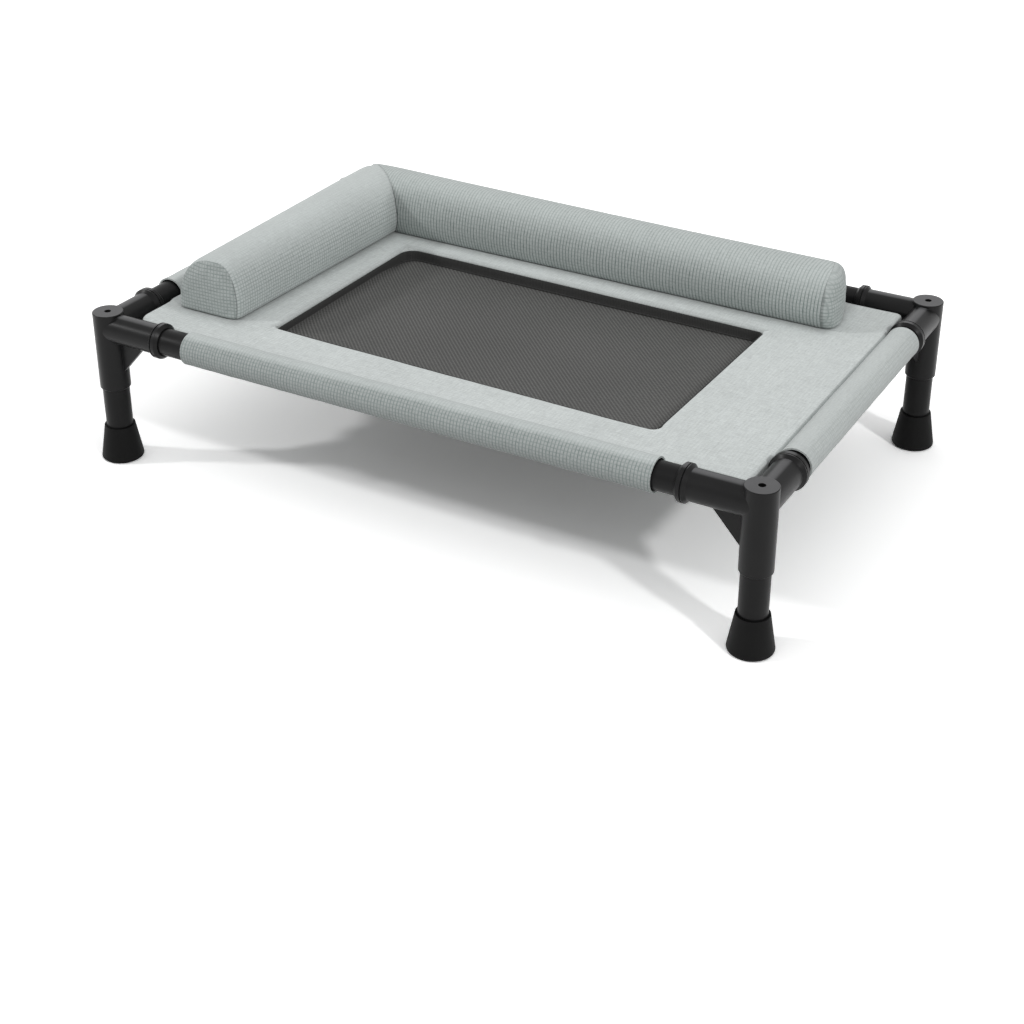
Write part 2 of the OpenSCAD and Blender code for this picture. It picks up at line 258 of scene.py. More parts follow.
def face_outwards(inside=False):
    """Turns all faces outwards, or inwards, and leaves edit mode."""
    bpy.ops.mesh.select_all(action="SELECT")
    bpy.ops.mesh.normals_make_consistent(inside=inside)
    bpy.ops.object.mode_set(mode="OBJECT")


def apply_modifier(obj, kind, **settings):
    """Adds a modifier, sets it and applies it."""
    activate(obj)
    modifier = obj.modifiers.new(kind.title(), kind)
    for name, value in settings.items():
        setattr(modifier, name, value)
    bpy.ops.object.modifier_apply(modifier=modifier.name)


def coords(obj):
    """The mesh's points as an array."""
    flat = np.empty(len(obj.data.vertices) * 3)
    obj.data.vertices.foreach_get("co", flat)
    return flat.reshape(-1, 3)


def set_coords(obj, points):
    obj.data.vertices.foreach_set("co", np.asarray(points, np.float32).ravel())
    obj.data.update()


def set_uv(obj, name, uv, other=None, faces=None):
    """Writes a UV map in metres from one (u, v) for each vertex. The marked faces take theirs from other."""
    layer = obj.data.uv_layers.new(name=name)
    loops = np.empty(len(obj.data.loops), np.int32)
    obj.data.loops.foreach_get("vertex_index", loops)
    corners = np.asarray(uv, np.float32)[loops]
    if other is not None:
        sizes = np.empty(len(obj.data.polygons), np.int32)
        obj.data.polygons.foreach_get("loop_total", sizes)
        marked = np.repeat(faces, sizes)
        corners[marked] = np.asarray(other, np.float32)[loops][marked]
    layer.data.foreach_set("uv", corners.ravel())


def smooth(obj, degrees=40):
    activate(obj)
    bpy.ops.object.shade_smooth_by_angle(angle=math.radians(degrees))


def dress(obj, name, material, slot, *nodes):
    """Names a finished piece, gives it its material and ties it to the frame."""
    obj.name = name
    obj.data.name = name
    obj.data.materials.clear()
    obj.data.materials.append(material)
    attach(obj, "root")
    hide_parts(*nodes)


def smoothstep(low, high, x):
    t = np.clip((x - low) / (high - low), 0, 1)
    return t * t * (3 - 2 * t)


def hump(x, middle, width):
    """A bell of height 1."""
    return np.exp(-((x - middle) / width) ** 2)


def ripple(points, period, phase):
    """A soft, uneven wave over points, between -1 and 1."""
    k = 2 * math.pi / period
    x, y, z = points.T
    one = np.sin(k * (x + 0.31 * y) + phase) * np.sin(0.63 * k * (y - 0.22 * x + z) + 1.7 * phase)
    two = np.sin(1.9 * k * (0.8 * y - x) + 2.3 + phase) * np.sin(1.37 * k * (x + y + z) + 0.6)
    return 0.65 * one + 0.35 * two


# Material helpers


def add(tree, kind, inputs=None, **settings):
    """Adds a node. An input is linked if its value is a socket and set otherwise."""
    node = tree.nodes.new(kind)
    for name, value in settings.items():
        setattr(node, name, value)
    for name, value in (inputs or {}).items():
        socket = node.inputs[name]
        if isinstance(value, bpy.types.NodeSocket):
            tree.links.new(value, socket)
        else:
            socket.default_value = value
    return node


def math_node(tree, operation, *values):
    return add(tree, "ShaderNodeMath", dict(enumerate(values)), operation=operation).outputs[0]


def vector_node(tree, operation, *values):
    node = add(tree, "ShaderNodeVectorMath", dict(enumerate(values)), operation=operation)
    return node.outputs["Vector"]


def split(tree, vector):
    return add(tree, "ShaderNodeSeparateXYZ", {0: vector}).outputs


def grey(tree, value):
    return add(tree, "ShaderNodeCombineXYZ", {0: value, 1: value, 2: value}).outputs[0]


def remap(tree, value, low, high, to_low=0.0, to_high=1.0, kind="SMOOTHSTEP"):
    return add(tree, "ShaderNodeMapRange", {
        "Value": value, "From Min": low, "From Max": high, "To Min": to_low, "To Max": to_high,
    }, interpolation_type=kind).outputs["Result"]


def noise(tree, vector, scale, detail=2.0, rough=0.5):
    return add(tree, "ShaderNodeTexNoise", {
        "Vector": vector, "Scale": scale, "Detail": detail, "Roughness": rough,
    }).outputs["Fac"]


def uneven(tree, value, low, high):
    """A noise's middle range, spread evenly from low to high."""
    return remap(tree, value, 0.3, 0.7, low, high, "LINEAR")


def object_place(tree):
    return add(tree, "ShaderNodeTexCoord").outputs["Object"]


def uv_place(tree, name):
    return add(tree, "ShaderNodeUVMap", uv_map=name).outputs["UV"]


def facing_up(tree):
    """1 where a surface faces up and 0 on a wall."""
    return split(tree, add(tree, "ShaderNodeNewGeometry").outputs["Normal"])["Z"]


def in_pitches(tree, vector, pitch):
    """The vector with its X and Y counted in pitches."""
    step = add(tree, "ShaderNodeCombineXYZ", {0: pitch, 1: pitch, 2: 1.0}).outputs[0]
    return vector_node(tree, "DIVIDE", vector, step)


def off_middle(tree, count):
    """How far a count is from the middle between two whole numbers."""
    return math_node(tree, "ABSOLUTE", math_node(tree, "SUBTRACT", math_node(tree, "FRACT", count), 0.5))


def group_tree(name, values, outputs):
    """An empty shader node group with a vector and float values as inputs, and float outputs."""
    tree = bpy.data.node_groups.new(name, "ShaderNodeTree")
    tree.interface.new_socket("Vector", in_out="INPUT", socket_type="NodeSocketVector")
    for label in values:
        tree.interface.new_socket(label, in_out="INPUT", socket_type="NodeSocketFloat")
    for label in outputs:
        tree.interface.new_socket(label, in_out="OUTPUT", socket_type="NodeSocketFloat")
    return tree, tree.nodes.new("NodeGroupInput").outputs, tree.nodes.new("NodeGroupOutput").inputs


def weave_group(name):
    """Woven cloth: ribs with sunken grooves between them, plain weave on the ribs, and uneven yarns.

    Across and Along are the depths of the grooves across and along the map's X. Groove is 1 in a deep one, Shade
    is a factor near 1 for the colour and Height is for a Bump node.
    """
    tree, given, made = group_tree(name, ("Pitch", "Across", "Along", "Slub"), ("Groove", "Shade", "Height"))
    vector = given["Vector"]
    wander = add(tree, "ShaderNodeTexNoise", {"Vector": vector, "Scale": 90.0, "Detail": 1.0}).outputs["Color"]
    pull = vector_node(tree, "SUBTRACT", wander, (0.5, 0.5, 0.5))
    counted = in_pitches(tree, vector, given["Pitch"])
    count = split(tree, vector_node(tree, "MULTIPLY_ADD", pull, (0.3, 0.3, 0.0), counted))
    lines, yarns = [], []
    for axis, depth in (("X", "Across"), ("Y", "Along")):
        line = remap(tree, off_middle(tree, count[axis]), 0.04, 0.26, 1.0, 0.0)
        lines.append(math_node(tree, "MULTIPLY", line, given[depth]))
        yarns.append(math_node(tree, "SINE", math_node(tree, "MULTIPLY", count[axis], 4 * math.pi)))
    patchy = uneven(tree, noise(tree, vector, 260.0), 0.55, 1.0)
    sunk = math_node(tree, "MULTIPLY", math_node(tree, "MAXIMUM", *lines), patchy)
    yarn = math_node(tree, "MULTIPLY", *yarns)
    along, across = (noise(tree, vector_node(tree, "MULTIPLY", vector, drawn), 1.0, 3.0, 0.65)
                     for drawn in ((110.0, 800.0, 300.0), (800.0, 110.0, 300.0)))
    speck = math_node(tree, "SUBTRACT", noise(tree, vector, 620.0, 2.0, 0.7), 0.5)
    slub = math_node(tree, "SUBTRACT", math_node(tree, "ADD", along, across), 1.0)
    slub = math_node(tree, "MULTIPLY_ADD", speck, 0.7, slub)
    raised = math_node(tree, "MULTIPLY_ADD", yarn, 0.15, math_node(tree, "MULTIPLY", slub, 0.6))
    tree.links.new(sunk, made["Groove"])
    tree.links.new(math_node(tree, "MULTIPLY_ADD", slub, given["Slub"], 1.0), made["Shade"])
    tree.links.new(math_node(tree, "SUBTRACT", raised, math_node(tree, "MULTIPLY", sunk, 0.7)), made["Height"])


def net_group(name):
    """Open net of crossed threads at 45 degrees. Thread is 1 on a thread and 0 in a hole."""
    tree, given, made = group_tree(name, ("Pitch",), ("Thread", "Height"))
    turned = add(tree, "ShaderNodeVectorRotate", {"Vector": given["Vector"], "Angle": math.radians(45)},
                 rotation_type="Z_AXIS").outputs["Vector"]
    count = split(tree, in_pitches(tree, turned, given["Pitch"]))
    long, cross = (remap(tree, off_middle(tree, count[axis]), width - 0.16, width + 0.16, 1.0, 0.0)
                   for axis, width in (("Y", 0.24), ("X", 0.20)))
    both = math_node(tree, "MAXIMUM", long, math_node(tree, "MULTIPLY", cross, 0.22))
    tree.links.new(math_node(tree, "MULTIPLY_ADD", cross, 0.2, both), made["Thread"])
    tree.links.new(both, made["Height"])


def grain_group(name):
    """Fine moulded grain with slow patches. Patch is a factor near 1, Height is for a Bump node."""
    tree, given, made = group_tree(name, ("Grain",), ("Patch", "Rough", "Height"))
    slow = noise(tree, given["Vector"], 28.0, 3.0, 0.55)
    tree.links.new(uneven(tree, slow, 0.85, 1.18), made["Patch"])
    tree.links.new(uneven(tree, slow, -0.05, 0.06), made["Rough"])
    tree.links.new(noise(tree, given["Vector"], given["Grain"], 2.0, 0.6), made["Height"])


NODE_GROUPS = {"Cot cloth weave": weave_group, "Cot net": net_group, "Cot moulded grain": grain_group}


def place_group(tree, name, vector, **values):
    """Places a node group, built once, with this material's values. Returns its outputs."""
    if name not in bpy.data.node_groups:
        NODE_GROUPS[name](name)
    group = bpy.data.node_groups[name]
    return add(tree, "ShaderNodeGroup", {"Vector": vector, **values}, node_tree=group).outputs


def new_material(name, **sockets):
    """A material with a Principled shader whose constant sockets are set."""
    material = bpy.data.materials.new(name)
    material.use_nodes = True
    tree = material.node_tree
    tree.nodes.clear()
    shader = add(tree, "ShaderNodeBsdfPrincipled", sockets)
    output = tree.nodes.new("ShaderNodeOutputMaterial")
    tree.links.new(shader.outputs["BSDF"], output.inputs["Surface"])
    return material, tree, shader


def tint(tree, shader, colour, *factors):
    """Gives the shader the colour, a value or a socket, times the factors."""
    total = factors[0]
    for factor in factors[1:]:
        total = math_node(tree, "MULTIPLY", total, factor)
    colour = colour if isinstance(colour, bpy.types.NodeSocket) else tuple(colour)
    tree.links.new(vector_node(tree, "MULTIPLY", grey(tree, total), colour), shader.inputs["Base Color"])


def bump(tree, shader, height, depth, strength, normal=None):
    inputs = {"Height": height, "Distance": depth, "Strength": strength}
    if normal is not None:
        inputs["Normal"] = normal
    tree.links.new(add(tree, "ShaderNodeBump", inputs).outputs["Normal"], shader.inputs["Normal"])


# Top of a rounded piece: how far up it faces where the top begins and where it is full, the share of the ribs that
# is left there, and the brightness of the sides and of the top, which paints shade on the sides and light on the top
Crown = namedtuple("Crown", "begins full ribs side top")


def cloth_material(name, colour, groove, pitch, ribs, slub=0.3, mapped=True, crown=None, sewn=False, hem=False):
    """Woven cloth.

    ribs: depth of its grooves across and along the map's X. mapped: the weave follows the piece's own UV map.
    sewn: a map gives the distance from the end panel's seam and from the mitre, near which painted shade darkens the
    cloth. hem: a map gives the distance from the rolled edge, along which a painted highlight lies, and from where
    painted shade darkens the deck.
    """
    material, tree, shader = new_material(name, **{
        "Roughness": 0.92, "Sheen Weight": 0.25, "Sheen Roughness": 0.45, "Specular IOR Level": 0.2,
    })
    where = object_place(tree)
    weave = place_group(tree, "Cot cloth weave", uv_place(tree, "weave") if mapped else where,
                        Pitch=pitch, Across=ribs[0], Along=ribs[1], Slub=slub)
    factors = [weave["Shade"], uneven(tree, noise(tree, where, 14.0, 3.0), 0.965, 1.035)]
    sunk, height = weave["Groove"], weave["Height"]
    if hem:
        away = split(tree, uv_place(tree, "hem"))
        # Painted highlight: paler within a few millimetres of the rolled edge
        factors.append(remap(tree, away["X"], 1 * MM, 4.5 * MM, 1.09, 1.0))
        # Painted shade: darker beside the bolster's foot and along the window's back and left edges
        factors.append(remap(tree, away["Y"], -1 * MM, 15 * MM, 0.72, 1.0))
    if sewn:
        away = split(tree, uv_place(tree, "seams"))
        panel, mitre = (math_node(tree, "ABSOLUTE", away[axis]) for axis in "XY")
        line = math_node(tree, "MAXIMUM", *(remap(tree, seam, 0.2 * MM, 0.8 * MM, 1.0, 0.0) for seam in (panel, mitre)))
        factors.append(remap(tree, line, 0.0, 1.0, 1.0, 0.64, "LINEAR"))
        # Painted shade: the cloth is darker within about 22 mm of the mitre
        factors.append(remap(tree, mitre, 0.0, 22 * MM, 0.84, 1.0))
        height = math_node(tree, "SUBTRACT", height, math_node(tree, "MULTIPLY", line, 1.2))
    if crown is not None:
        # The ribs are drawn flat over the crown
        up = facing_up(tree)
        sunk = math_node(tree, "MULTIPLY", sunk, remap(tree, up, crown.begins, crown.full, 1.0, crown.ribs))
        # Painted light and shade: the sides and the top are darker or paler by how far up they face
        factors.append(remap(tree, up, crown.begins, crown.full, crown.side, crown.top))
    dyed = add(tree, "ShaderNodeMix", {"Factor": sunk}, data_type="RGBA")
    dyed.inputs["A"].default_value, dyed.inputs["B"].default_value = (*colour, 1), (*groove, 1)
    tint(tree, shader, dyed.outputs["Result"], *factors)
    bump(tree, shader, height, 0.4 * MM, 0.5)
    return material


def moulded_material(name, colour, rough, grain, depth, edge=0.0, top=1.0, shine=0.15):
    """Black moulded or coated surface with a fine grain and softly rounded edges. top: painted light, paler where it
    faces up.
    """
    material, tree, shader = new_material(name, **{"Specular IOR Level": shine})
    texture = place_group(tree, "Cot moulded grain", object_place(tree), Grain=grain)
    # Painted light: the colour is paler where the surface faces up
    tint(tree, shader, colour, texture["Patch"], remap(tree, facing_up(tree), 0.93, 1.0, 1.0, top))
    tree.links.new(math_node(tree, "ADD", texture["Rough"], rough), shader.inputs["Roughness"])
    rounded = add(tree, "ShaderNodeBevel", {"Radius": edge}, samples=4).outputs["Normal"] if edge else None
    bump(tree, shader, texture["Height"], depth, 0.5, rounded)
    return material


def net_material(name, colour, pitch, curl_w):
    """Dark net, with painted shade where it curves up at the window's left side."""
    material, tree, shader = new_material(name, **{"Roughness": 0.75, "Specular IOR Level": 0.3})
    where = object_place(tree)
    net = place_group(tree, "Cot net", where, Pitch=pitch)
    shade = remap(tree, net["Thread"], 0.0, 1.2, 0.70, 1.45, "LINEAR")
    slow = uneven(tree, noise(tree, where, 10.0), 0.95, 1.05)
    fuzz = remap(tree, noise(tree, where, 700.0, 2.0, 0.7), 0.25, 0.75, 0.78, 1.22, "LINEAR")
    left = WINDOW[0].x
    # Painted shade: darker close to the window's left wall
    painted_wall_shade = remap(tree, split(tree, where)["X"], left + 1 * MM, left + curl_w, 0.58, 1.0)
    tint(tree, shader, colour, shade, slow, fuzz, painted_wall_shade)
    bump(tree, shader, net["Height"], 0.5 * MM, 0.6)
    return material


def tape_material(name, colour):
    """Ribbed black tape, with the ribs across its own UV map."""
    material, tree, shader = new_material(name, **{"Roughness": 0.85, "Specular IOR Level": 0.25})
    at = uv_place(tree, "weave")
    rib_pitch = 1.6 * MM
    rib = math_node(tree, "SINE", math_node(tree, "MULTIPLY", split(tree, at)["X"], 2 * math.pi / rib_pitch))
    tint(tree, shader, colour, remap(tree, rib, -1.0, 1.0, 0.8, 1.15, "LINEAR"),
         uneven(tree, noise(tree, at, 1200.0), 0.85, 1.15))
    bump(tree, shader, rib, 0.3 * MM, 0.5)
    return material


# Pieces


class COT_OT_frame_finish(bpy.types.Operator):
    """Give the connectors, tubes and feet their moulded, coated and rubber finishes"""

    bl_idname = "cot.frame_finish"
    bl_label = "Frame finish"

    def execute(self, context):
        looks = context.scene.cot_frame
        coating = moulded_material("tube_coating", looks.tube, rough=0.36, grain=1300.0, depth=0.04 * MM)
        finishes = {
            # The connectors take painted light on their upward faces
            "corner": moulded_material("connector_plastic", looks.connector, rough=0.33, grain=1900.0,
                                       depth=0.05 * MM, edge=looks.edge, top=looks.top, shine=0.17),
            "foot": moulded_material("foot_rubber", looks.foot, rough=0.6, grain=1500.0,
                                     depth=0.06 * MM, edge=looks.edge, shine=0.13),
            "leg": coating,
            "rail": coating,
        }
        for name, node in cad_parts.items():
            material = finishes.get(name.split("_")[0])
            if material:
                node.data.materials.clear()
                node.data.materials.append(material)
        return {"FINISHED"}


def sleeve_piece(side, looks, material):
    """Strip of cloth wrapped round one rail, its two ends sewn together under the deck."""
    node = f"sleeve_{side}"
    low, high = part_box(node)
    rail_low, rail_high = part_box(f"rail_{side}")
    axis = (rail_low + rail_high) / 2
    if side in ("front", "back"):
        along, inward, length = Vector((1, 0, 0)), Vector((0, -axis.y, 0)).normalized(), (high - low).x
    else:
        along, inward, length = Vector((0, 1, 0)), Vector((-axis.x, 0, 0)).normalized(), (high - low).y
    short = {"front": looks.short[0], "left": looks.short[1]}.get(side, 0.0)
    start = axis - along * (length / 2 - short)
    length -= short
    radius = SLEEVE_R - looks.cloth_t / 2

    deselect()
    bpy.ops.mesh.primitive_circle_add(vertices=SLEEVE_RING, radius=radius, location=(0, 0, 0), fill_type="NOTHING")
    obj = bpy.context.active_object
    # The circle stands round the rail: its own X is inward and its own Y is up
    set_coords(obj, [start + inward * x + Vector((0, 0, y)) for x, y, _ in coords(obj)])
    edit(obj)
    # The seam is where the strip's ends meet, level with the underside of the deck
    seam_z = DECK_LOW.z - 0.6 * MM
    seam_a = math.asin((seam_z - axis.z) / radius)
    seam = start + inward * radius * math.cos(seam_a) + Vector((0, 0, radius * math.sin(seam_a)))
    gap = 1.05 * math.pi * radius / SLEEVE_RING
    if not select(obj, "verts", lambda v: (v.co - seam).length < gap):
        raise RuntimeError(f"no seam found on {node}")
    bpy.ops.mesh.delete(type="VERT")
    bpy.ops.mesh.select_all(action="SELECT")
    extrude(along * length)
    select(obj, "edges", lambda e: abs((e.verts[0].co - e.verts[1].co).dot(along)) > 0.5 * length)
    bpy.ops.mesh.subdivide(number_cuts=round(length / SLEEVE_STEP))
    # Both ends of the strip run on under the deck as the seam allowance
    select(obj, "edges", lambda e: e.is_boundary
           and abs((e.verts[0].co - e.verts[1].co).normalized().dot(along)) > 0.9)
    extrude(inward * looks.tongue)
    face_outwards()

    points = coords(obj)
    local = points - np.array(start)
    run = local @ np.array(along)
    inside = local @ np.array(inward)
    up = local[:, 2]
    angle = np.arctan2(up, inside)
    past_seam = inside - radius * math.cos(seam_a)
    tongue = past_seam > 1 * MM
    # The two layers of the allowance lie together, just under the deck
    layer = np.where(up > seam_z - axis.z, 0.35 * MM, -1.05 * MM)
    points[:, 2] = np.where(tongue, seam_z + layer, points[:, 2])
    # The cloth is a little slack, and each mouth has a thicker hem with a line of stitches behind it
    swell = 0.22 * MM * ripple(points, 95 * MM, len(side)) + 0.10 * MM * ripple(points, 31 * MM, 2.0)
    mouth = np.minimum(run, length - run)
    swell += 0.45 * MM * hump(mouth, 2.5 * MM, 3 * MM)
    swell -= 0.35 * MM * hump(mouth, 9 * MM, 2.2 * MM)
    out = np.outer(np.cos(angle), np.array(inward)) + np.outer(np.sin(angle), (0, 0, 1))
    points += np.where(tongue, 0, swell)[:, None] * out
    set_coords(obj, points)
    wrap = np.mod(angle - seam_a, 2 * math.pi) * radius
    set_uv(obj, "weave", np.stack([run, np.where(tongue, -past_seam, wrap)], 1))
    apply_modifier(obj, "SOLIDIFY", thickness=looks.cloth_t, offset=0.0)
    smooth(obj, 50)
    dress(obj, f"cover_sleeve_{side}", material, "cover", node)


class COT_OT_sleeves(bpy.types.Operator):
    """Wrap a strip of cloth round each rail"""

    bl_idname = "cot.sleeves"
    bl_label = "Rail sleeves"

    def execute(self, context):
        looks = context.scene.cot_cover
        # The long sleeves' crowns are painted paler on top and a little darker on the sides: painted light and shade
        for name, colour, ribs, crown, sides in (
                ("long", looks.long_sleeve, (0.85, 0.52), Crown(0.75, 1.0, 0.30, 0.97, 1.28), ("front", "back")),
                ("short", looks.short_sleeve, (0.22, 0.22), Crown(0.75, 1.0, 0.30, 1.0, 1.0), ("left", "right"))):
            material = cloth_material(f"{name}_sleeve_cloth", colour, looks.groove, looks.pitch, ribs, crown=crown)
            for side in sides:
                sleeve_piece(side, looks, material)
        return {"FINISHED"}


def rounded_loop(obj, corners, z, radii, cuts):
    """In edit mode, adds a closed loop of edges: a plane with these corners, bevelled, and its face removed."""
    centre = sum(corners, Vector()) / 4
    bpy.ops.mesh.select_mode(type="VERT")
    bpy.ops.mesh.select_all(action="DESELECT")
    bpy.ops.mesh.primitive_plane_add(size=1, location=(centre.x, centre.y, z))
    bm = bmesh.from_edit_mesh(obj.data)
    for v in bm.verts:
        if v.select:
            way = (v.co - centre).normalized()
            nearest = min(corners, key=lambda corner: ((corner - centre).normalized() - way).xy.length)
            v.co = (nearest.x, nearest.y, z)
    bmesh.update_edit_mesh(obj.data)
    for corner, radius in zip(corners, radii):
        select(obj, "verts", lambda v: (v.co.xy - corner.xy).length < 1e-6)
        bpy.ops.mesh.bevel(offset=radius, segments=CORNER_STEPS, affect="VERTICES", profile=0.5)
    select(obj, "faces", lambda f: True)
    bpy.ops.mesh.delete(type="ONLY_FACE")
    for axis, count in zip("xy", cuts):
        half = abs(getattr(corners[0] - centre, axis))
        select(obj, "edges", lambda e: abs(getattr(e.verts[0].co - e.verts[1].co, axis)) > half)
        bpy.ops.mesh.subdivide(number_cuts=count)


class COT_OT_deck(bpy.types.Operator):
    """Make the padded deck with its rolled edge round the window"""

    bl_idname = "cot.deck"
    bl_label = "Deck"

    def execute(self, context):
        looks = context.scene.cot_cover
        top, low = DECK_HIGH.z, DECK_LOW.z
        tuck = 2.0 * MM
        out_high = Vector((DECK_HIGH.x - tuck, DECK_HIGH.y - tuck, 0))
        outer = [Vector((x * out_high.x, y * out_high.y, 0)) for x, y in ((-1, -1), (1, -1), (1, 1), (-1, 1))]
        obj = empty_mesh()
        rounded_loop(obj, WINDOW, top, looks.window_r, DECK_CUTS)
        rounded_loop(obj, outer, top, looks.corner_r, DECK_CUTS)
        bpy.ops.mesh.select_all(action="SELECT")
        bpy.ops.mesh.bridge_edge_loops(number_cuts=DECK_RINGS, interpolation="LINEAR")
        bpy.ops.mesh.select_all(action="SELECT")
        bpy.ops.mesh.normals_make_consistent(inside=False)
        if sum(f.normal.z for f in bmesh.from_edit_mesh(obj.data).faces) < 0:
            bpy.ops.mesh.flip_normals()
        bpy.ops.object.mode_set(mode="OBJECT")
        apply_modifier(obj, "SOLIDIFY", thickness=top - low, offset=-1.0)
        edit(obj)
        border = 50 * MM
        for at_window, radius in ((True, looks.hem_r), (False, looks.edge_r)):
            select(obj, "edges", lambda e: e.calc_face_angle(0) > math.radians(60) and at_window == (
                abs(e.verts[0].co.x) < out_high.x - border and abs(e.verts[0].co.y) < out_high.y - border))
            bpy.ops.mesh.bevel(offset=radius, segments=4, profile=0.5)
        bpy.ops.object.mode_set(mode="OBJECT")
        points = coords(obj)
        x, y, z = points.T
        # The outer edge is drawn up to each sleeve between the sleeve's ends
        half_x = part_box("sleeve_front")[1].x
        half_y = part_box("sleeve_right")[1].y
        reach = tuck + 0.1 * MM
        drawn = 30 * MM
        near_y = smoothstep(out_high.y - drawn, out_high.y - tuck, np.abs(y))
        near_x = smoothstep(out_high.x - drawn, out_high.x - tuck, np.abs(x))
        y += np.sign(y) * reach * near_y * smoothstep(half_x + 17 * MM, half_x + 11 * MM, np.abs(x))
        x += np.sign(x) * reach * near_x * smoothstep(half_y + 4 * MM, half_y - 1 * MM, np.abs(y))
        # Slight softness of the padding on the upper side
        upper = smoothstep(low + 6 * MM, top - 1 * MM, z)
        z += upper * (0.22 * MM * ripple(points, 120 * MM, 0.4) - 0.3 * MM)
        set_coords(obj, points)
        # The hem map: distance from the window's edge, for the painted highlight, and from where painted shade lies
        away = [((x - a.x) * (b.y - a.y) - (y - a.y) * (b.x - a.x)) / (b - a).length for a, b in WINDOW_SIDES]
        # Behind and left of the window the edge is painted darker, as the foot of the bolster is, but over less width:
        # painted shade
        edge, shade = np.max(away, 0), self.from_bolster(context.scene.cot_bolster, x, y)
        behind_or_left = np.argmax(away, 0) >= 2
        shade = np.where(behind_or_left, np.minimum(shade, 2.4 * edge - 1 * MM), shade)
        set_uv(obj, "hem", np.stack([edge, shade], 1))
        smooth(obj, 60)
        material = cloth_material("deck_cloth", looks.cloth, looks.groove, looks.pitch, (0.12, 0.12),
                                  slub=0.40, mapped=False, hem=True)
        dress(obj, "cover_deck", material, "cover", "deck_panel")
        return {"FINISHED"}

    def from_bolster(self, looks, x, y):
        """Distance of points on the deck from the foot of the two arms, where the deck takes painted shade."""
        left_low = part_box("bolster_arm_left")[0]
        back_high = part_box("bolster_arm_back")[1]
        end_low, end_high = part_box("bolster_end_right")
        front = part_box("bolster_end_front")[0].y
        mitre_x = left_low.x + looks.corner_at[0] + looks.mitre[0] - looks.mitre[4]
        mitre_y = back_high.y + looks.corner_at[1] - looks.corner_w + looks.mitre[4]
        foot_x = np.interp(y, (front, mitre_y), (left_low.x + looks.left_end[0] - looks.left_end[4], mitre_x))
        foot_y = np.interp(x, (mitre_x, end_high.x), (mitre_y, end_low.y + looks.back_at[1] + looks.back_end[4]))
        left = np.maximum(x - foot_x, front - y)
        back = np.maximum(foot_y - y, x - end_high.x)
        return np.minimum(left, back)


